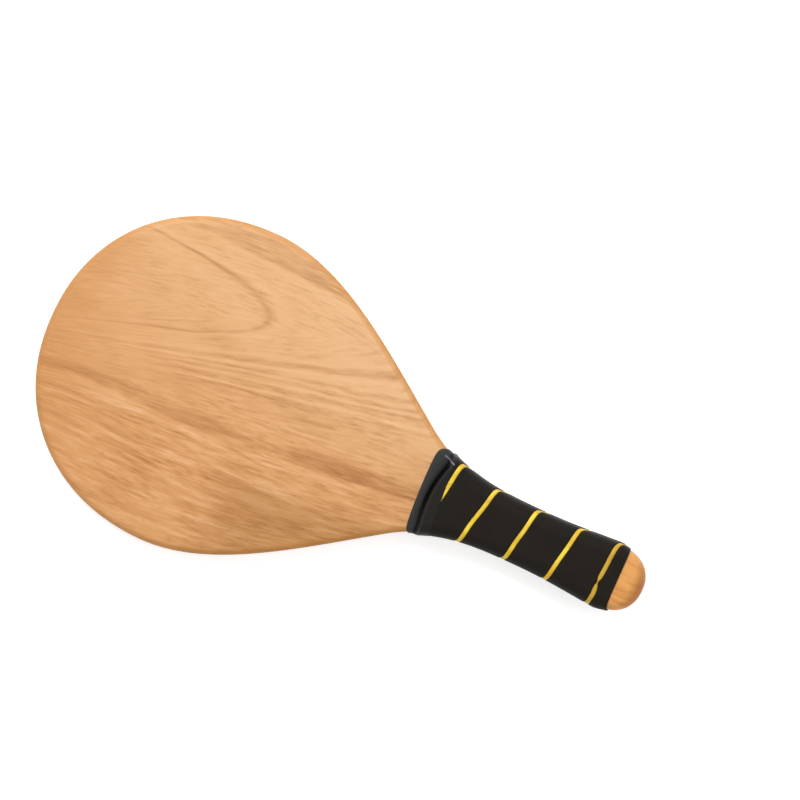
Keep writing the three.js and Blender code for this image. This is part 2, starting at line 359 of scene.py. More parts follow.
def head_outline():
    """Open outline from one side of the neck round the tip to the other, with inward normals."""
    places = head_places()
    right = [(x, -half_width(x)) for x in reversed(places)]
    left = [(x, half_width(x)) for x in places[1:]]
    points = np.array(right + left)
    along = np.gradient(points, axis=0)
    along /= np.linalg.norm(along, axis=1)[:, None]
    inward = np.column_stack([along[:, 1], -along[:, 0]])
    return points, inward


def head_rim_profile():
    """Inset and height of the rim, from the front face over the edge to the rear face."""
    rows = [(BLADE_HALF + CAP_INSET, BLADE_HALF)]
    for i in range(RIM_STEPS + 1):
        angle = math.pi / 2 - math.pi * i / RIM_STEPS
        rows.append((BLADE_HALF * (1 - math.cos(angle)), BLADE_HALF * math.sin(angle)))
    return rows + [(BLADE_HALF + CAP_INSET, -BLADE_HALF)]


def head_mesh():
    """Points and faces of the head: rim strips, two flat faces and the end under the wrap."""
    points, inward = head_outline()
    inward[0], inward[-1] = (0, 1), (0, -1)
    rings = [[(x, y, MID + z) for x, y in points + inward * inset]
             for inset, z in head_rim_profile()]
    rim_points, faces = skin(rings, closed=False)
    first = list(range(0, len(rim_points), len(points)))
    last = [i + len(points) - 1 for i in first]
    faces.append(tuple(first + last[::-1]))
    return rim_points, faces


# The handle's layers: the tang and the two cheeks, cut from one body

BODY_AROUND = 120
RAMP_STEPS = 14
GRIP_STEPS = 60
BUTT_STEPS = 36


def handle_places():
    """Places along X of the body's rings, from its foot to just short of the butt."""
    ramp = [FOOT + RAMP_LENGTH * (1 - math.cos(math.pi / 2 * i / RAMP_STEPS))
            for i in range(RAMP_STEPS)]
    grip = spread(FOOT + RAMP_LENGTH, FLARE[0], GRIP_STEPS)[:-1]
    butt = [FLARE[0] + FLARE_TO_BUTT * math.sin(math.pi / 2 * i / BUTT_STEPS)
            for i in range(BUTT_STEPS)]
    return ramp + grip + butt


def body_ring(x):
    """Loop round the handle's body, about its middle plane."""
    ring = []
    for i in range(BODY_AROUND):
        share = i / BODY_AROUND
        back = cheek_place(x, share)
        y, z = section_point(half_width(back), half_depth(x), GRIP_CORNER, share)
        ring.append((back, y, z))
    return ring


def body_layer(low, high):
    """Points and faces of the handle's body between two heights above its middle plane."""
    points, faces = skin([body_ring(x) for x in handle_places()], capped=False)
    last = len(points) - BODY_AROUND
    points += [(points[0][0], 0, 0), (BUTT, 0, 0)]
    for i in range(BODY_AROUND):
        after = (i + 1) % BODY_AROUND
        faces.append((len(points) - 2, after, i))
        faces.append((last + i, last + after, len(points) - 1))
    cut = bmesh.new()
    verts = [cut.verts.new(p) for p in points]
    for face in faces:
        cut.faces.new([verts[i] for i in face])
    for height, facing in ((low, -1), (high, 1)):
        everything = cut.verts[:] + cut.edges[:] + cut.faces[:]
        made = bmesh.ops.bisect_plane(cut, geom=everything, plane_co=(0, 0, height),
                                      plane_no=(0, 0, facing), clear_outer=True)
        rim = [e for e in made["geom_cut"] if isinstance(e, bmesh.types.BMEdge)]
        if rim:
            bmesh.ops.edgeloop_fill(cut, edges=rim)
    bmesh.ops.recalc_face_normals(cut, faces=cut.faces[:])
    cut.verts.index_update()
    out_points = [(v.co.x, v.co.y, MID + v.co.z) for v in cut.verts]
    out_faces = [tuple(v.index for v in f.verts) for f in cut.faces]
    cut.free()
    return out_points, out_faces


def make_blade(material):
    """Head and tang of the plank in one piece."""
    points, faces = head_mesh()
    half = BLADE_HALF - GLUE_LINE / 2
    tang_points, tang_faces = body_layer(-half, half)
    faces += [tuple(len(points) + i for i in face) for face in tang_faces]
    piece = add_mesh("plank", points + tang_points, faces, material)
    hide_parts("blade")


def make_cheek(name, node, side, material):
    """One cheek of the handle, in front of the tang or behind it."""
    low, high = BLADE_HALF + GLUE_LINE / 2, 2 * HANDLE_HALF
    points, faces = body_layer(low, high) if side > 0 else body_layer(-high, -low)
    piece = add_mesh(name, points, faces, material)
    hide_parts(node)


# The wound grip

TURN_STEPS = 160
TURN_RANGE = (-2, 8)
TAPE_ACROSS = 26
TRIM_ACROSS = 6


def climb(turn):
    """Share of a pitch gained after so many turns: slow on the faces, quick round the sides."""
    angle = 4 * math.pi * turn
    return turn - FACE_CLIMB * math.sin(angle) + EDGE_CLIMB * math.sin(2 * angle)


def stray(turn):
    """How far the hand-wound strip lies past its even place, towards the butt."""
    from_last = turn - LAST_STRIPE
    dropped = (FIRST_PAST + SECOND_SHORT) * smooth(turn, *FIRST_DROP_TURNS)
    eased = SECOND_SHORT * smooth(turn, *SECOND_RISE_TURNS)
    short = LAST_SHORT * smooth(from_last, *LAST_DROP_TURNS)
    past = LAST_PAST * smooth(from_last, *LAST_PAST_TURNS)
    past += LAST_SWING * smooth(from_last, *LAST_SWING_TURNS)
    past *= smooth(from_last, *LAST_RETURN_TURNS)
    return FIRST_PAST - dropped + eased - short + past


def stripe_place(turn):
    """Place along X of the ribbon's middle line."""
    return FIRST_STRIPE + TAPE_PITCH * climb(turn) + stray(turn)


def turn_where(rising, value):
    """Turn at which a rising function of the turn reaches a value."""
    return crossing(lambda turn: rising(turn) < value, *TURN_RANGE)


def wrap_point(x, share, offset):
    """Point of a layer wound on the full handle, lifted off the wood by an offset."""
    y, z = section_point(half_width(x) + offset, HANDLE_HALF + offset,
                         GRIP_CORNER + offset, share)
    return (x, y, MID + z)


def thinned(x):
    """How much thinner the wrap is drawn towards its last edge."""
    return TAPE_END_DROP * smooth(x, TAPE_END - TAPE_END_REACH, TAPE_END)


def wound_strip(first, last, low_edge, high_edge, outer_at, steps):
    """Points and faces of a strip wound on the handle, with its outer skin's own profile."""
    rings = []
    for turn in spread(first, last, int((last - first) * TURN_STEPS)):
        low, high = low_edge(turn), high_edge(turn)
        across = [low + (high - low) * (1 - math.cos(math.pi * i / steps)) / 2
                  for i in range(steps + 1)]
        top = [wrap_point(x, turn, outer_at(min(x - low, high - x)) - thinned(x)) for x in across]
        under = [wrap_point(x, turn, TAPE_INNER) for x in reversed(across)]
        rings.append(top + under)
    return skin(rings)


def rounded_edge(full, reach):
    """Offset of a strip's skin by its distance to the strip's edge: full, but rounded off there."""
    def offset(distance):
        return full - EDGE_DROP * (1 - ramp_rise(distance / reach))
    return offset


def pinch(turn):
    """Share of its width that the ribbon keeps: all, but for one spot on its last turn."""
    return 1 - PINCH_SHARE * math.exp(-((turn - PINCH_TURN) / PINCH_LENGTH) ** 2)


def end_place(turn):
    """Place along X of the tape's last edge, which leans and runs on round the lower side."""
    side = math.sin(2 * math.pi * turn)
    past = TAPE_END_PAST * max(-side, 0) ** TAPE_END_POWER
    return TAPE_END - TAPE_END_SHORT - TAPE_END_LEAN * side + past


def tape_low_edge(turn):
    """The tape starts under the band's tail, or else beside the stripe before it."""
    return max(tail_place(turn) - TAPE_LAP, stripe_place(turn) + HALF_GROOVE * pinch(turn))


def tape_high_edge(turn):
    """The tape ends at its last edge, or else beside the next stripe."""
    return min(end_place(turn), stripe_place(turn + 1) - HALF_GROOVE * pinch(turn + 1))


def make_tape(material):
    """The black wrap, wound from under the band to the bare butt."""
    first = turn_where(lambda t: stripe_place(t + 1) - HALF_GROOVE, TAPE_START + TAPE_TIP)
    last = turn_where(lambda t: stripe_place(t) + HALF_GROOVE, TAPE_END - TAPE_TIP)
    profile = rounded_edge(TAPE_OUTER, EDGE_ROUND)
    points, faces = wound_strip(first, last, tape_low_edge, tape_high_edge, profile, TAPE_ACROSS)
    piece = add_mesh("black_wrap", points, faces, material)
    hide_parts("grip_tape")


def make_trim(material):
    """The yellow ribbon in the groove between the wrap's turns."""
    half = TRIM_WIDTH / 2
    first = turn_where(stripe_place, TAPE_START + half)
    last = turn_where(stripe_place, TAPE_END - half)
    profile = rounded_edge(TRIM_OUTER, half)
    points, faces = wound_strip(first, last, lambda t: stripe_place(t) - half * pinch(t),
                                lambda t: stripe_place(t) + half * pinch(t), profile, TRIM_ACROSS)
    piece = add_mesh("yellow_ribbon", points, faces, material)
    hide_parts("grip_trim")


# The finishing band at the wrap's mouth

BAND_AROUND = 200
BAND_FLAT_STEPS = 22
BAND_RAMP_STEPS = 30
BAND_TAIL_STEPS = 8
BAND_SEAT = 0.05
BAND_THICKNESS = 0.5
BAND_LEAST = 0.04
BAND_TAIL = 0.14
BAND_TAIL_RUN = 3
EDGE_BLUNT = 0.1
EDGE_RISE = 1.1
MOUTH_TO_LIP = 2.4
LIP_PLACE = MOUTH + MOUTH_TO_LIP
LIP_HEIGHT = 0.35
LIP_WIDTH = 1.8
CREASE_DEPTH = 0.9
CREASE_WIDTH = 1.1
CREASE_SIDE_POWER = 3
FOLD_START = (63, 27.3)
FOLD_END = (74, 24.2)
FOLD_SLOPE = (FOLD_END[1] - FOLD_START[1]) / (FOLD_END[0] - FOLD_START[0])
FOLD_HEIGHT = 0.42
FOLD_RUN_IN = 1.6
FOLD_STEPS = 8

# Shares of a turn: the fold's width, how far its fine steps reach, and where to look for it
FOLD_WIDTH = 0.0026
FOLD_REACH = 3 * FOLD_WIDTH
FOLD_SEARCH = (0.05, 0.25)


def fold_side(x):
    """Distance from the middle line of the fold in the band, at x."""
    held = min(max(x, FOLD_START[0]), FOLD_END[0])
    return FOLD_START[1] + FOLD_SLOPE * (held - FOLD_START[0])


def band_surface(x, share, lift):
    """Point of the band over a place on its straightened length, at a height above its seat."""
    side = TAPE_OUTER * smooth(x, MOUTH, BAND_TOP)
    rise = ramp_rise((x - FOOT) / (BAND_TOP - FOOT))
    depth = BLADE_HALF + (HANDLE_HALF + TAPE_OUTER - BLADE_HALF) * rise
    back = bowed(x, share)
    y, z = section_point(half_width(back) + BAND_SEAT + side + lift, depth + BAND_SEAT + lift,
                         GRIP_CORNER + side + lift, share)
    return (back, y, MID + z)


def fold_share(x):
    """Share of a turn at which the fold crosses a ring of the band."""
    def before_fold(share):
        place = band_surface(x, share, BAND_THICKNESS)
        return place[1] < fold_side(place[0])
    return crossing(before_fold, *FOLD_SEARCH)


def band_shares(fold):
    """Shares of a turn for a ring's points, closer together at the fold."""
    near = [fold + FOLD_REACH * i / FOLD_STEPS for i in range(-FOLD_STEPS, FOLD_STEPS + 1)]
    far = spread(fold + FOLD_REACH, fold + 1 - FOLD_REACH, BAND_AROUND)[1:-1]
    return near + far


def band_lift(x, share, fold):
    """Thickness of the band at a place: thin at both edges, creased at the ramp's foot."""
    full = BAND_THICKNESS + LIP_HEIGHT * math.exp(-((x - LIP_PLACE) / LIP_WIDTH) ** 2)
    full += (BAND_TAIL - BAND_THICKNESS) * smooth(x, BAND_TOP - BAND_TAIL_RUN, BAND_EDGE)
    edge = ramp_rise((x - MOUTH + EDGE_BLUNT) / EDGE_RISE)
    crease = CREASE_DEPTH * math.exp(-((x - FOOT) / CREASE_WIDTH) ** 2)
    crease *= 1 - sideways(share) ** CREASE_SIDE_POWER
    place = bowed(x, fold)
    run = smooth(place, FOLD_START[0], FOLD_START[0] + FOLD_RUN_IN)
    run *= 1 - smooth(place, FOLD_END[0] - FOLD_RUN_IN, FOLD_END[0])
    ridge = FOLD_HEIGHT * run * math.exp(-((share - fold) / FOLD_WIDTH) ** 2)
    return max(full * edge - crease, BAND_LEAST) + ridge


def band_ring(x, outside):
    """Loop round the band at x, on its inner surface or on its outer one."""
    fold = fold_share(x)
    return [band_surface(x, share, band_lift(x, share, fold) if outside else 0)
            for share in band_shares(fold)]


def make_band(material):
    """The glossy band that closes the wrap's mouth over the plank, as a tube closed on itself."""
    ramp = [FOOT + (BAND_TOP - FOOT) * (1 - math.cos(math.pi / 2 * i / BAND_RAMP_STEPS))
            for i in range(BAND_RAMP_STEPS)]
    places = spread(MOUTH, FOOT, BAND_FLAT_STEPS)[:-1] + ramp
    places += spread(BAND_TOP, BAND_EDGE, BAND_TAIL_STEPS)
    outside = [band_ring(x, True) for x in reversed(places)]
    inside = [band_ring(x, False) for x in places]
    points, faces = skin(outside + inside, loops=True, capped=False)
    piece = add_mesh("mouth_band", points, faces, material)
    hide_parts("finishing_band")


# Materials

class Nodes:
    """Short calls that build the node tree of one material or world."""

    def __init__(self, name, among=bpy.data.materials):
        self.owner = among.new(name)
        self.owner.use_nodes = True
        self.tree = self.owner.node_tree
        self.tree.nodes.clear()

    def add(self, kind, **settings):
        """A new node with these settings."""
        node = self.tree.nodes.new(kind)
        for key, value in settings.items():
            setattr(node, key, value)
        return node

    def feed(self, socket, value):
        """Link another node's output to a socket, or write a plain value in it."""
        if isinstance(value, bpy.types.NodeSocket):
            self.tree.links.new(value, socket)
        else:
            socket.default_value = value

    def result(self, node, *values, **named):
        """First output of a node, with values for its first inputs or for those it names."""
        for socket, value in zip(node.inputs, values):
            self.feed(socket, value)
        for name, value in named.items():
            self.feed(node.inputs[name.replace("_", " ")], value)
        return node.outputs[0]

    def math(self, operation, *values):
        return self.result(self.add("ShaderNodeMath", operation=operation), *values)

    def chain(self, operation, result, *values):
        """Result of math nodes in a row, over any number of values."""
        for value in values:
            result = self.math(operation, result, value)
        return result

    def total(self, *values):
        return self.chain("ADD", *values)

    def times(self, *values):
        return self.chain("MULTIPLY", *values)

    def greater(self, *values):
        return self.chain("MAXIMUM", *values)

    def lesser(self, a, b):
        return self.math("MINIMUM", a, b)

    def minus(self, a, b):
        return self.math("SUBTRACT", a, b)

    def poly(self, value, *terms):
        """Polynomial of a value, with its constant term first."""
        result = terms[-1]
        for term in reversed(terms[:-1]):
            result = self.total(term, self.times(value, result))
        return result

    def remap(self, value, low, high, to_low=0, to_high=1, smooth=True):
        """A value brought from one range to another, and held at the ends."""
        kind = "SMOOTHSTEP" if smooth else "LINEAR"
        node = self.add("ShaderNodeMapRange", interpolation_type=kind)
        return self.result(node, value, low, high, to_low, to_high)

    def window(self, value, low, high, edge):
        """1 between low and high, with soft edges, and 0 outside."""
        return self.times(self.remap(value, low, low + edge), self.remap(value, high, high - edge))

    def combine(self, x, y, z):
        return self.result(self.add("ShaderNodeCombineXYZ"), x, y, z)

    def noise(self, vector, scale=1, detail=2, roughness=0.5):
        """Noise from 0 to 1 at a place."""
        node = self.add("ShaderNodeTexNoise", noise_dimensions="3D")
        return self.result(node, Vector=vector, Scale=scale, Detail=detail, Roughness=roughness)

    def cells(self, values, lengths, **settings):
        """Noise over two or three values, with the length of its cells along each of them."""
        sides = [self.times(value, 1 / length) for value, length in zip(values, lengths)]
        return self.noise(self.combine(*sides, *[0] * (3 - len(sides))), **settings)

    def curve(self, value, stops):
        """A tone from -1 to 1 by place, straight between stops of (place, tone)."""
        first, last = stops[0][0], stops[-1][0]
        node = self.add("ShaderNodeValToRGB")
        ramp = node.color_ramp
        for _ in stops[2:]:
            ramp.elements.new(1)
        for element, (place, tone) in zip(ramp.elements, stops):
            level = (tone + 1) / 2
            element.position = (place - first) / (last - first)
            element.color = (level, level, level, 1)
        self.feed(node.inputs[0], self.remap(value, first, last, smooth=False))
        return self.remap(node.outputs[0], 0, 1, -1, 1, smooth=False)

    def blend(self, factor, a, b):
        """Mix of two colours, which are sockets 6 and 7 of the node and 2 of its outputs."""
        node = self.add("ShaderNodeMix", data_type="RGBA")
        for index, value in ((0, factor), (6, a), (7, b)):
            self.feed(node.inputs[index], value)
        return node.outputs[2]

    def place_mm(self):
        """The point's own place in the object, in millimetres, as three numbers."""
        split = self.add("ShaderNodeSeparateXYZ")
        self.feed(split.inputs[0], self.add("ShaderNodeTexCoord").outputs["Object"])
        return [self.math("DIVIDE", value, MM) for value in split.outputs]

    def bump(self, height, distance, strength):
        """Normal of a surface with a height from 0 to 1, for a distance in millimetres."""
        node = self.add("ShaderNodeBump")
        return self.result(node, Strength=strength, Distance=distance * MM, Height=height)

    def surface(self, color, roughness, normal, **sockets):
        """The finished material, with some sockets of its shader by name."""
        shader = self.result(self.add("ShaderNodeBsdfPrincipled"), Base_Color=color,
                             Roughness=roughness, Normal=normal, **sockets)
        return self.close(shader)

    def close(self, shader, output="ShaderNodeOutputMaterial"):
        """The material or the world, with this shader as its surface."""
        self.feed(self.add(output).inputs[0], shader)
        return self.owner


def from_screen(red, green, blue):
    """Linear colour from screen levels of 0 to 255."""
    levels = [v / 255 for v in (red, green, blue)]
    return tuple(v / 12.92 if v <= 0.04045 else ((v + 0.055) / 1.055) ** 2.4
                 for v in levels) + (1,)


# In all that follows, a fade is two places, labels or levels and the values there, 0 and 1 where
# it names none, and a window is its two ends and the width of its soft edges.

# Growth rings of the plank. Each ring has a label, about 1 per mm, that falls from the fan of
# straight lines below the pith to the loop round it, and rises again above it. On each side of the
# pith the level is the label on the axis, and slope and curve say how it changes across. All of
# them are polynomials in the distance along from RING_ORIGIN. The rings are bent by noise, with
# its cells and its swing.
RING_ORIGIN = -60
ALONG_UNIT, ACROSS_UNIT = 100, 50
ALONG_LIMIT = 1.3
LOW_LEVEL = (56.5, 14, -6, 4)
LOW_SLOPE = (-50, 16, -12)
LOW_CURVE = (-1, 9.5)
TOP_LEVEL = (-69.5, 1.5, -3)
TOP_SLOPE = (45.5, -3.5)
PITH_ROUND = 24.5
TOP_LIMIT = -38
RING_DEPTH = 0.8
LANE_BOW = 10
RING_BENDS = [((90, 30, 30), 0.8), ((40, 9, 9), 0.6)]

# Tones by ring label, dark above 0 and light below: the loop and the lines above it, the fan
# below it, and the wide streaks at the bottom
LOOP_TONES = [
    (-14, 0), (-9.5, 0.2), (-7, 0), (4, -0.05), (6, -0.15), (9.5, 0), (10.8, 0.75),
    (11.6, 0.2), (12.8, -0.3), (16, 0), (21, 0), (24, -0.25), (25.6, 0.2), (26.9, 0.8),
    (28.2, 0.65), (29.7, 0.8), (31.5, 0.4), (34, 0.65), (35.5, 0.7), (37, 0.4),
]
FAN_TONES = [
    (20, 0), (23.5, -0.35), (25, 0.15), (26.4, 0.5), (28.2, 0.5), (29.2, 0), (30.4, -0.65),
    (31.4, -0.1), (32.7, 0.6), (33.6, 0.4), (34.7, -0.3), (35.6, 0.2), (36.8, 0.55), (38, 0.1),
    (39.8, -0.6), (41, -0.1), (42.4, 0.5), (43.6, 0.2), (44.6, 0.3), (45.5, 0), (46.5, -0.8),
    (47.4, -0.4), (48.6, 0.4), (51, 0.25), (53, 0.15), (56, 0),
]
WIDE_TONES = [
    (52, 0), (55, 0.1), (72, 0), (75, 0.4), (78, 0.75), (82, 0.85), (84.5, 0.7), (86.5, 0.1),
    (89.5, -0.36), (92.5, -0.15), (96, 0), (99, 0.15), (101.5, 0.3), (104, 0), (117, 0),
    (120.5, 0.5), (122.5, 0.25), (125.5, 0.6), (128, 0.1), (138, 0), (142, 0.3), (146, 0),
]

# The loop: how far its lines are drawn aside, and where they show
PULL_TOP = (82, 68, 0, 3.1)
PULL_UNDER = (64, 48, 0, -1.3)
PULL_LEFT = (-125, -180, 0, 2.6)
PULL_LEFT_LOW = (60, 40)
PULL_LABELS = (20, 14)
ABOVE_PITH = (-16, -44)
LOOP_LABELS = (20, 15)
TOP_FADE = (-155, -105, 0.35, 1)
TOP_LABELS = (24, 19)
ARM_BOOST = (-95, -130, 0, 0.5)
ARM_ABOVE = (50, 70)
LEFT_FADE = (-205, -150, 0.35, 1)

# The fan: how its lines drift along X, and where they fade
FAN_DRIFT = (-99, -6, 0, 3.6)
DRIFT_WINDOW = (30.5, 43.5, 4.5)
BELOW_PITH = (12, 32)
FINE_LABELS = (31.6, 33)
FINE_LOSS = (-105, -165, 0, 0.85)
FAN_LOSS = (-145, -190, 0, 0.75)

# The wide streaks: their swing at the left, and where the dark ones and the light ones show
WIDE_SWING = (-105, -200, 0, 12)
WIDE_PLACES = (-95, -135)
WIDE_LABELS = (110, 100)
LIGHT_PLACES = (-40, -85)
FAINT_WINDOW = (-88, -20, 20)
FAINT_LABELS = (90, 86)
FAINT_SHARE = 0.7

# Single lines: the slant of their label past SLANT_FROM, windows of label and place, and tone
SLANT_FROM = -91
SINGLE_LINES = [
    (0, (74, 87, 5), (-40, 26, 10), 0.48),
    (-0.066, (47.4, 49.6, 1.1), (-97, -30, 12), 0.6),
    (0, (55.5, 59.2, 1.8), (-48, -6, 10), 0.6),
    (0, (48.6, 57, 2), (12, 300, 22), -0.5),
]

# Grain finer than the rings: the cells of its noise, for threads, flecks and dashes with the
# noise's detail, and the tones that the noise becomes
SIDE_CHANGE = (-8, 24)
DRAWN_CELLS = [(30, 1.9, 2), (13, 1.8, 1), (7, 1.3, 1)]
FADE_CELLS, STREAK_CELLS, CLOUD_CELLS = (45, 8), (60, 6), (50, 20)
PATCH_CELLS = (34, 17, 20)
LINE_FADE = (0.3, 0.62, 0.8, 1.15)
THREAD_TONE = (0.3, 0.7, -0.35, 0.4)
FLECK_TONE = (0.3, 0.7, -0.42, 0.5)
STREAK_TONE = (0.3, 0.7, -0.42, 0.36)
CLOUD_TONE = (0.3, 0.7, -0.28, 0.3)
STREAK_LABELS = (60, 92)
FLECK_DEPTHS = [(-20, 0.68), (8, 0.62), (22, 0.42), (32, 0.6), (60, 0.8), (95, 1.05)]
PATCH_DEPTH = (0.3, 0.65, 0.6, 1.3)
LEFT_DEPTH = (-195, -125, 0.65, 1)
PORE_LEVELS = (0.57, 0.74)
PORE_TONE = 0.5

# Colours of the plank, and where and how strongly each is laid over those before it
# Painted light: the second colour and the two fades after it make the plank lighter upward and to
# the right, where the lamps' sheen lies on the varnish
WOOD_LOW, WOOD_PAINTED_LIGHT = from_screen(224, 163, 105), from_screen(239, 189, 138)
PAINTED_LIGHT_UP, PAINTED_LIGHT_RIGHT = (-70, 88, 0, 0.57), (-190, 10, 0, 0.43)
PAINTED_LIGHT_RIGHT_ABOVE = (-25, 65)
LEFT_COLOR, LEFT_PLACES = from_screen(216, 154, 95), (-165, -225, 0, 0.8)
# Darker near the head's lower edge, fading in from x = -90 mm towards the neck, where the dark
# grain is darker and the light grain fainter
LOWER_EDGE_COLOR, LOWER_EDGE_SHARE = from_screen(184, 128, 74), 0.62
LOWER_EDGE_LABELS, LOWER_EDGE_PLACES = (98, 117), (-90, -45)
DARK_GRAIN, DARK_GRAIN_LOWER = from_screen(180, 120, 70), from_screen(156, 100, 54)
DARK_SHARE = 0.5
LIGHT_GRAIN, LIGHT_GRAIN_LOWER = from_screen(250, 203, 156), (0, 1, 0.5, 0.22)
RIM_COLOR, RIM_PLACES = from_screen(208, 140, 62), (-130, 20, 0.62, 1)
RIM_EDGE, RIM_ROUND = (0.01, 0.3, 0, 0.42), (0.3, 3.4, 0, 0.5)
TONE_HEIGHT, PORE_HEIGHT = -0.3, -0.8
PLANK_ROUGHNESS, PORE_ROUGHNESS = 0.46, 0.1


def ring_fields(net, x, y, z):
    """Ring labels of a point, nested round the pith and as they run on straight below it, its
    place below the pith, and its lane above it."""
    bent = y
    for lengths, swing in RING_BENDS:
        bend = net.cells((x, y, z), lengths, detail=1)
        bent = net.total(bent, net.remap(bend, 0, 1, -swing, swing, smooth=False))
    along = net.lesser(net.times(net.minus(x, RING_ORIGIN), 1 / ALONG_UNIT), ALONG_LIMIT)
    across = net.times(bent, 1 / ACROSS_UNIT)
    slope = net.total(net.poly(along, *LOW_SLOPE), net.times(across, net.poly(along, *LOW_CURVE)))
    lower = net.total(net.poly(along, *LOW_LEVEL), net.times(across, slope))
    upper = net.total(net.poly(along, *TOP_LEVEL), net.times(across, net.poly(along, *TOP_SLOPE)))
    inside = net.times(net.minus(MID + BLADE_HALF, z), RING_DEPTH)
    nested = net.total(rounded_maximum(net, lower, upper), inside)
    straight = net.total(rounded_maximum(net, lower, net.lesser(upper, TOP_LIMIT)), inside)
    lane = net.total(bent, net.poly(along, 0, 0, LANE_BOW))
    return nested, straight, net.minus(lower, upper), lane


def rounded_maximum(net, a, b):
    """Maximum of two fields, rounded where they cross."""
    middle = net.times(net.total(a, b), 0.5)
    apart = net.times(net.minus(a, b), 0.5)
    return net.total(middle, net.math("SQRT", net.total(net.times(apart, apart),
                                                        PITH_ROUND ** 2)))


def loop_tone(net, x, y, nested, below):
    """Tone of the loop of grain round the pith and of the lines above it."""
    pull = net.total(net.remap(y, *PULL_TOP), net.remap(y, *PULL_UNDER),
                     net.times(net.remap(x, *PULL_LEFT), net.remap(y, *PULL_LEFT_LOW)))
    loop = net.total(nested, net.times(pull, net.remap(nested, *PULL_LABELS)))
    in_loop = net.remap(loop, *LOOP_LABELS)
    lines = net.times(net.curve(loop, LOOP_TONES),
                      net.greater(net.remap(below, *ABOVE_PITH), in_loop),
                      net.greater(net.remap(x, *TOP_FADE), net.remap(loop, *TOP_LABELS)))
    arm = net.total(net.times(net.remap(x, *ARM_BOOST), in_loop), 1)
    arm = net.times(net.remap(y, *ARM_ABOVE), arm)
    return net.times(lines, net.greater(net.remap(x, *LEFT_FADE), arm))


def fan_tone(net, x, straight, below):
    """Tone of the fan of fine lines below the pith, which fades towards the head's far end."""
    drift = net.times(net.remap(x, *FAN_DRIFT, smooth=False), net.window(straight, *DRIFT_WINDOW))
    lines = net.times(net.curve(net.minus(straight, drift), FAN_TONES),
                      net.remap(below, *BELOW_PITH))
    lost = net.greater(net.times(net.remap(straight, *FINE_LABELS), net.remap(x, *FINE_LOSS)),
                       net.remap(x, *FAN_LOSS))
    return net.times(lines, net.minus(1, lost))


def wide_tone(net, x, straight):
    """Tone of the wide streaks in the lower half of the head."""
    label = net.total(straight, net.remap(x, *WIDE_SWING))
    streaks = net.curve(label, WIDE_TONES)
    faint = net.times(net.window(x, *FAINT_WINDOW), net.remap(label, *FAINT_LABELS))
    dark = net.times(net.greater(streaks, 0), net.minus(1, net.times(faint, FAINT_SHARE)))
    light = net.times(net.lesser(streaks, 0), net.remap(x, *LIGHT_PLACES))
    shown = net.greater(net.remap(x, *WIDE_PLACES), net.remap(label, *WIDE_LABELS))
    return net.times(net.total(dark, light), shown)


def single_tone(net, x, straight):
    """Tone of the single lines, each in its own window."""
    tones = []
    for slant, labels, places, tone in SINGLE_LINES:
        label = net.total(straight, net.times(net.minus(x, SLANT_FROM), slant))
        tones.append(net.times(net.window(label, *labels), net.window(x, *places), tone))
    return net.total(*tones)


def drawn_out(net, x, z, lanes, below, length, width, detail):
    """Noise drawn out along the grain, from one lane below the pith and from another above."""
    parts = [net.cells((x, lane, z), (length, width, 2 * width), detail=detail) for lane in lanes]
    return net.total(net.times(parts[0], below), net.times(parts[1], net.minus(1, below)))


def fine_tone(net, x, y, z, straight, below, lane):
    """Tone of the threads, flecks, streaks and clouds between the rings, and the pores' depth."""
    side = net.remap(below, *SIDE_CHANGE)
    threads, flecks, dashes = [drawn_out(net, x, z, (straight, lane), side, *values)
                               for values in DRAWN_CELLS]
    streaks = net.cells((x, straight), STREAK_CELLS, detail=1)
    patches = net.cells((x, y, z), PATCH_CELLS)
    cloud = net.cells((x, y), CLOUD_CELLS, detail=3)
    depth = net.times(net.curve(straight, FLECK_DEPTHS), net.remap(patches, *PATCH_DEPTH),
                      net.remap(x, *LEFT_DEPTH))
    pores = net.times(net.remap(dashes, *PORE_LEVELS), depth)
    soft = net.total(net.remap(flecks, *FLECK_TONE, smooth=False),
                     net.remap(threads, *THREAD_TONE, smooth=False))
    broad = net.times(net.remap(streaks, *STREAK_TONE), net.remap(straight, *STREAK_LABELS))
    tone = net.total(broad, net.times(soft, depth), net.times(pores, PORE_TONE),
                     net.remap(cloud, *CLOUD_TONE, smooth=False))
    return tone, pores


def plank_color(net, x, y, z, straight, tone):
    """Colour of the wood by place, with painted light that makes it lighter upward and to the
    right, with its dark and light grain, and of the rim.
    """
    # Painted light: lighter towards the top and the right of the head
    painted_light = net.total(net.remap(y, *PAINTED_LIGHT_UP),
                       net.times(net.remap(x, *PAINTED_LIGHT_RIGHT), net.remap(y, *PAINTED_LIGHT_RIGHT_ABOVE)))
    color = net.blend(painted_light, WOOD_LOW, WOOD_PAINTED_LIGHT)
    color = net.blend(net.remap(x, *LEFT_PLACES), color, LEFT_COLOR)
    # Darker near the lower edge, from x = -90 mm towards the neck
    lower_edge = net.times(net.remap(straight, *LOWER_EDGE_LABELS), net.remap(x, *LOWER_EDGE_PLACES))
    color = net.blend(net.times(lower_edge, LOWER_EDGE_SHARE), color, LOWER_EDGE_COLOR)
    dark = net.times(net.greater(tone, 0), DARK_SHARE)
    color = net.blend(dark, color, net.blend(lower_edge, DARK_GRAIN, DARK_GRAIN_LOWER))
    light = net.times(net.greater(net.times(tone, -1), 0), net.remap(lower_edge, *LIGHT_GRAIN_LOWER))
    color = net.blend(light, color, LIGHT_GRAIN)
    inward = net.minus(BLADE_HALF, net.math("ABSOLUTE", net.minus(z, MID)))
    rim = net.total(net.remap(inward, *RIM_EDGE), net.remap(inward, *RIM_ROUND))
    return net.blend(net.times(rim, net.remap(x, *RIM_PLACES)), color, RIM_COLOR)


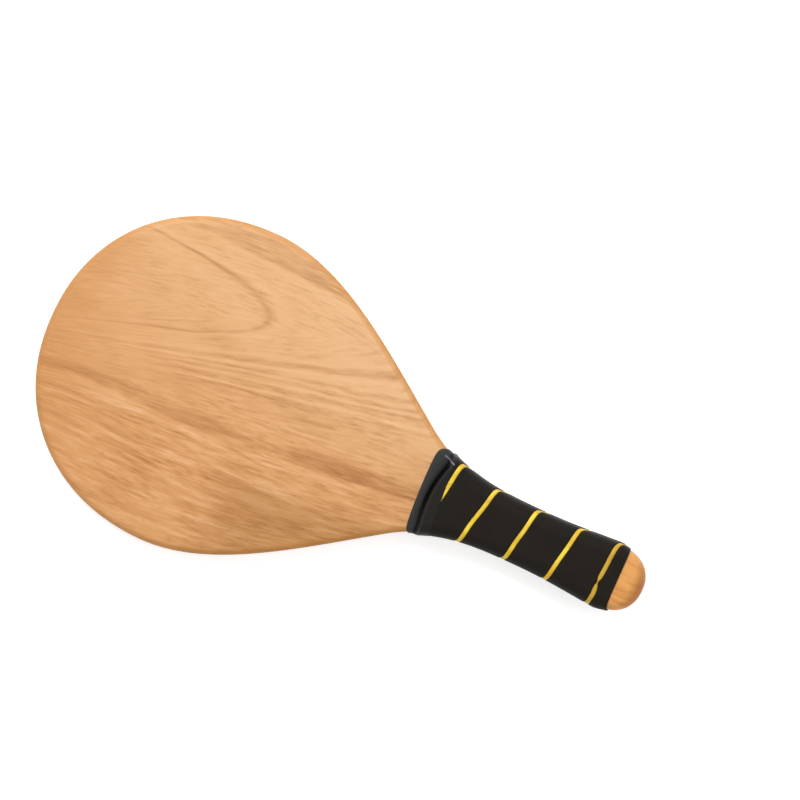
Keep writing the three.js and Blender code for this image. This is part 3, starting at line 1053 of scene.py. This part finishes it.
def plank_material():
    """Varnished tan wood with a loop of grain, fine ring lines, flecks and short dark pores."""
    net = Nodes("plank_wood")
    x, y, z = net.place_mm()
    nested, straight, below, lane = ring_fields(net, x, y, z)
    rings = net.total(loop_tone(net, x, y, nested, below), fan_tone(net, x, straight, below),
                      wide_tone(net, x, straight), single_tone(net, x, straight))
    rings = net.times(rings, net.remap(net.cells((x, nested), FADE_CELLS), *LINE_FADE))
    fine, pores = fine_tone(net, x, y, z, straight, below, lane)
    tone = net.total(rings, fine)
    height = net.total(net.times(tone, TONE_HEIGHT), net.times(pores, PORE_HEIGHT))
    normal = net.bump(height, distance=0.04, strength=0.3)
    roughness = net.total(PLANK_ROUGHNESS, net.times(pores, PORE_ROUGHNESS))
    return net.surface(plank_color(net, x, y, z, straight, tone), roughness, normal,
                       Coat_Weight=0.06, Coat_Roughness=0.3, Specular_IOR_Level=0.22)


# Wood of the cheeks: how its rings lie, and its colours with their levels
CHEEK_TILT = (0.12, 1, 0.35)
CHEEK_WAVE, CHEEK_WAVE_CELLS = 3, (60, 22, 22)
CHEEK_BAND_CELLS, CHEEK_THREAD_CELLS = (60, 7), (22, 2.1)
CHEEK_COLOR, CHEEK_BAND_COLOR = from_screen(241, 173, 100), from_screen(208, 136, 68)
CHEEK_THREAD_COLOR, CHEEK_END_COLOR = from_screen(196, 126, 64), from_screen(180, 102, 24)
CHEEK_BANDS, CHEEK_THREADS = (0.5, 0.68, 0, 0.65), (0.5, 0.75, 0, 0.3)
CHEEK_END_LENGTH, CHEEK_END_SHARE = 11, 0.85
CHEEK_ROUGHNESS, THREAD_ROUGHNESS = 0.44, 0.06


def cheek_material():
    """The same varnished wood, cut so that its rings run along the handle."""
    net = Nodes("cheek_wood")
    place = net.place_mm()
    wave = net.cells(place, CHEEK_WAVE_CELLS)
    tilted = [net.times(value, share) for value, share in zip(place, CHEEK_TILT)]
    rings = net.total(*tilted, net.remap(wave, 0, 1, -CHEEK_WAVE, CHEEK_WAVE, smooth=False))
    x = place[0]
    bands = net.cells((x, rings), CHEEK_BAND_CELLS, roughness=0.6)
    threads = net.cells((x, rings), CHEEK_THREAD_CELLS)
    color = net.blend(net.remap(bands, *CHEEK_BANDS), CHEEK_COLOR, CHEEK_BAND_COLOR)
    color = net.blend(net.remap(threads, *CHEEK_THREADS), color, CHEEK_THREAD_COLOR)
    end = net.remap(x, BUTT - CHEEK_END_LENGTH, BUTT, 0, CHEEK_END_SHARE)
    color = net.blend(end, color, CHEEK_END_COLOR)
    normal = net.bump(threads, distance=0.03, strength=0.3)
    roughness = net.total(CHEEK_ROUGHNESS, net.times(threads, THREAD_ROUGHNESS))
    return net.surface(color, roughness, normal, Coat_Weight=0.04, Coat_Roughness=0.3,
                       Specular_IOR_Level=0.18)


WRAP_DARK, WRAP_LIGHT = from_screen(26, 23, 19), from_screen(38, 34, 29)
WRAP_ROUGHNESS = (0.3, 0.7, 0.54, 0.66)


def tape_material():
    """Smooth near-black synthetic leather with a soft sheen."""
    net = Nodes("black_wrap")
    place = net.combine(*net.place_mm())
    grain = net.noise(place, scale=1.3, detail=3, roughness=0.6)
    color = net.blend(net.noise(place, scale=0.06), WRAP_DARK, WRAP_LIGHT)
    normal = net.bump(grain, distance=0.06, strength=0.35)
    return net.surface(color, net.remap(grain, *WRAP_ROUGHNESS), normal, Specular_IOR_Level=0.08)


RIBBON_DEEP, RIBBON_BRIGHT = from_screen(236, 188, 42), from_screen(255, 226, 70)
RIBBON_LEVELS, RIBBON_ROUGHNESS = (0.35, 0.65), (0.3, 0.7, 0.42, 0.55)
RIBBON_DULL, DULL_PLACES = from_screen(196, 152, 48), (182, 190, 0, 0.75)


def trim_material():
    """Golden yellow ribbon, a little uneven, and duller on its last turn."""
    net = Nodes("yellow_ribbon")
    x, y, z = net.place_mm()
    place = net.combine(x, y, z)
    cloud = net.noise(place, scale=0.12, detail=3)
    grain = net.noise(place, scale=2.2)
    color = net.blend(net.remap(cloud, *RIBBON_LEVELS), RIBBON_DEEP, RIBBON_BRIGHT)
    color = net.blend(net.remap(x, *DULL_PLACES), color, RIBBON_DULL)
    normal = net.bump(grain, distance=0.04, strength=0.3)
    return net.surface(color, net.remap(grain, *RIBBON_ROUGHNESS), normal, Specular_IOR_Level=0.35)


# The band: its colours, the painted shade of the crease by the distance past it and by the side,
# and the painted glint along the fold
BAND_DARK, BAND_LIGHT = from_screen(40, 41, 40), from_screen(54, 56, 55)
# The crease colour is painted shade: the near-black laid where the crease at the cheeks' foot is in
# shadow
BEHIND_COLOR, CREASE_SHADE_COLOR = from_screen(36, 35, 32), from_screen(9, 9, 8)
CREASE_SHADE_NEAR, CREASE_SHADE_FAR, BEHIND_CREASE = (-2, -0.4), (2.8, 1.2), (0.8, 4)
CREASE_SHADE_BELOW, CREASE_SHADE_ABOVE = (-26, -2, 0.7, 1), (30, 20, 0.35, 1)
# The fold's pale colour and its mask are a painted highlight, a glint where the band's fold catches
# the light
FOLD_GLINT_COLOR, FOLD_GLINT_SHARE = from_screen(150, 140, 160), 0.8
FOLD_GLINT_EDGE, FOLD_GLINT_PLACES, FOLD_GLINT_HEIGHT = (0.9, 0.2), (62, 64), 2
BAND_ROUGHNESS, CREASE_ROUGHNESS = (0.3, 0.7, 0.36, 0.46), 0.2
CREASE_GLOSS, BEHIND_GLOSS = (0, 1, 0.22, 0.02), (0, 1, 1, 0.4)


def band_material():
    """Glossy black tape, drawn tight over the cheeks' foot, with painted shade in its crease, which
    is also rougher and less glossy there, and a painted glint along its fold.
    """
    net = Nodes("mouth_band")
    x, y, z = net.place_mm()
    place = net.combine(x, y, z)
    wrinkle = net.noise(place, scale=0.35)
    side = net.lesser(net.greater(y, -CREASE_REACH), CREASE_REACH)
    past = net.minus(x, net.poly(side, FOOT + CREASE_LEAD, CREASE_SLANT, CREASE_BOW))
    behind = net.remap(past, *BEHIND_CREASE)
    # Painted shade in the crease at the cheeks' foot, by the distance past it and by the side; the
    # same mask makes the crease rougher and less glossy
    dark = net.times(net.remap(past, *CREASE_SHADE_NEAR), net.remap(past, *CREASE_SHADE_FAR),
                     net.remap(y, *CREASE_SHADE_BELOW), net.remap(y, *CREASE_SHADE_ABOVE))
    # Painted highlight: a pale glint along the fold in the band, on its front side only
    fold = net.poly(x, FOLD_START[1] - FOLD_SLOPE * FOLD_START[0], FOLD_SLOPE)
    aside = net.math("ABSOLUTE", net.minus(y, fold))
    glint = net.times(net.remap(aside, *FOLD_GLINT_EDGE), net.remap(x, *FOLD_GLINT_PLACES),
                     net.remap(z, MID, MID + FOLD_GLINT_HEIGHT), FOLD_GLINT_SHARE)
    color = net.blend(net.noise(place, scale=0.1), BAND_DARK, BAND_LIGHT)
    color = net.blend(behind, color, BEHIND_COLOR)
    color = net.blend(dark, color, CREASE_SHADE_COLOR)
    color = net.blend(glint, color, FOLD_GLINT_COLOR)
    normal = net.bump(wrinkle, distance=0.12, strength=0.4)
    roughness = net.total(net.remap(wrinkle, *BAND_ROUGHNESS), net.times(dark, CREASE_ROUGHNESS))
    gloss = net.times(net.remap(dark, *CREASE_GLOSS), net.remap(behind, *BEHIND_GLOSS))
    return net.surface(color, roughness, normal, Specular_IOR_Level=gloss)


# Camera: square on to the face but for a small lean, with the racket's axis falling to the right

VIEW_LEAN = math.radians(4.62)
LEAN_TOWARDS = (0.04, 0.07)
AXIS_FALL = math.radians(25.14)
MM_PER_PIXEL = 0.689
FRAME_PIXELS = 800
VIEW_CENTRE = (18.4, 48.2)
CAMERA_DISTANCE = 3
CLIP_END = 20
SENSOR = 36


def view_axes():
    """Right, up and backward directions of the camera, in the object's frame."""
    lean = Vector(LEAN_TOWARDS).normalized() * math.sin(VIEW_LEAN)
    back = Vector((lean.x, lean.y, math.cos(VIEW_LEAN)))
    right = Vector((0, 1, 0)).cross(back).normalized()
    up = back.cross(right)
    along = Vector((1, 0, 0))
    turn = math.atan2(along.dot(up), along.dot(right)) + AXIS_FALL
    new_right = right * math.cos(turn) + up * math.sin(turn)
    return new_right, back.cross(new_right), back


RIGHT, UP, BACK = view_axes()
TARGET = Vector((VIEW_CENTRE[0], VIEW_CENTRE[1], MID)) * MM


def make_camera():
    """The scene's camera, which looks at the target along the view's own axes."""
    data = bpy.data.cameras.new("camera")
    data.sensor_width = SENSOR
    data.lens = SENSOR * CAMERA_DISTANCE / (FRAME_PIXELS * MM_PER_PIXEL * MM)
    data.clip_end = CLIP_END
    camera = add_object("camera", data)
    turned = Matrix((RIGHT, UP, BACK)).transposed().to_4x4()
    camera.matrix_world = Matrix.Translation(TARGET + BACK * CAMERA_DISTANCE) @ turned
    bpy.context.scene.camera = camera


# Lamps: name, place from the target to the right, up and back in metres, side in metres, watts
LAMPS = [
    ("key", (-0.5, 1.3, 1.8), 1, 32),
    ("fill", (1.4, -0.2, 1.6), 1.4, 6.4),
]


def make_lamp(name, place, size, power):
    """Square soft lamp at a place given from the view's target, aimed at it."""
    data = bpy.data.lights.new(name, "AREA")
    data.shape = "SQUARE"
    data.size = size
    data.energy = power
    lamp = add_object(name, data)
    right, up, back = place
    away = RIGHT * right + UP * up + BACK * back
    lamp.location = TARGET + away
    lamp.rotation_mode = "QUATERNION"
    lamp.rotation_quaternion = away.to_track_quat("Z", "Y")


def seen_as_backdrop(net):
    """Factor that is 1 for camera, glossy and transmission rays, and 0 for all others."""
    rays = net.add("ShaderNodeLightPath").outputs
    return net.greater(rays["Is Camera Ray"], rays["Is Glossy Ray"], rays["Is Transmission Ray"])


WHITE = (1, 1, 1, 1)
WORLD_LIGHT = 0.43


def make_world():
    """White backdrop that lights the object less than it shows."""
    net = Nodes("studio", bpy.data.worlds)
    glows = [net.result(net.add("ShaderNodeBackground"), WHITE, strength)
             for strength in (WORLD_LIGHT, 1)]
    mix = net.result(net.add("ShaderNodeMixShader"), seen_as_backdrop(net), *glows)
    bpy.context.scene.world = net.close(mix, "ShaderNodeOutputWorld")


FLOOR_HALF = 2
FLOOR_COLOR = (0.92, 0.92, 0.92, 1)
FLOOR_GLOW = 0.6


def make_floor():
    """Pale floor under the racket, which touches it at the head's tip and at the band."""
    net = Nodes("floor")
    matt = net.result(net.add("ShaderNodeBsdfDiffuse"), FLOOR_COLOR)
    strength = net.times(seen_as_backdrop(net), FLOOR_GLOW)
    glow = net.result(net.add("ShaderNodeEmission"), WHITE, strength)
    surface = net.close(net.result(net.add("ShaderNodeAddShader"), matt, glow))

    tip = Vector((HEAD_TIP + BLADE_HALF, 0, MID - BLADE_HALF)) * MM
    heel = Vector((BAND_EDGE, 0, band_low[2])) * MM
    along = (heel - tip).normalized()
    across = Vector((0, 1, 0))
    corners = [(tip + heel) / 2 + (along * a + across * b) * FLOOR_HALF
               for a, b in ((-1, -1), (1, -1), (1, 1), (-1, 1))]
    mesh = bpy.data.meshes.new("floor")
    mesh.from_pydata([tuple(c) for c in corners], [], [(0, 1, 2, 3)])
    mesh.materials.append(surface)
    floor = add_object("floor", mesh)


# Build

make_camera()
make_world()
for lamp_values in LAMPS:
    make_lamp(*lamp_values)
make_floor()

make_blade(plank_material())
cheek_wood = cheek_material()
make_cheek("cheek_front", "front_cheek", 1, cheek_wood)
make_cheek("cheek_rear", "rear_cheek", -1, cheek_wood)
make_tape(tape_material())
make_trim(trim_material())
make_band(band_material())

bpy.context.scene.view_settings.view_transform = "Standard"
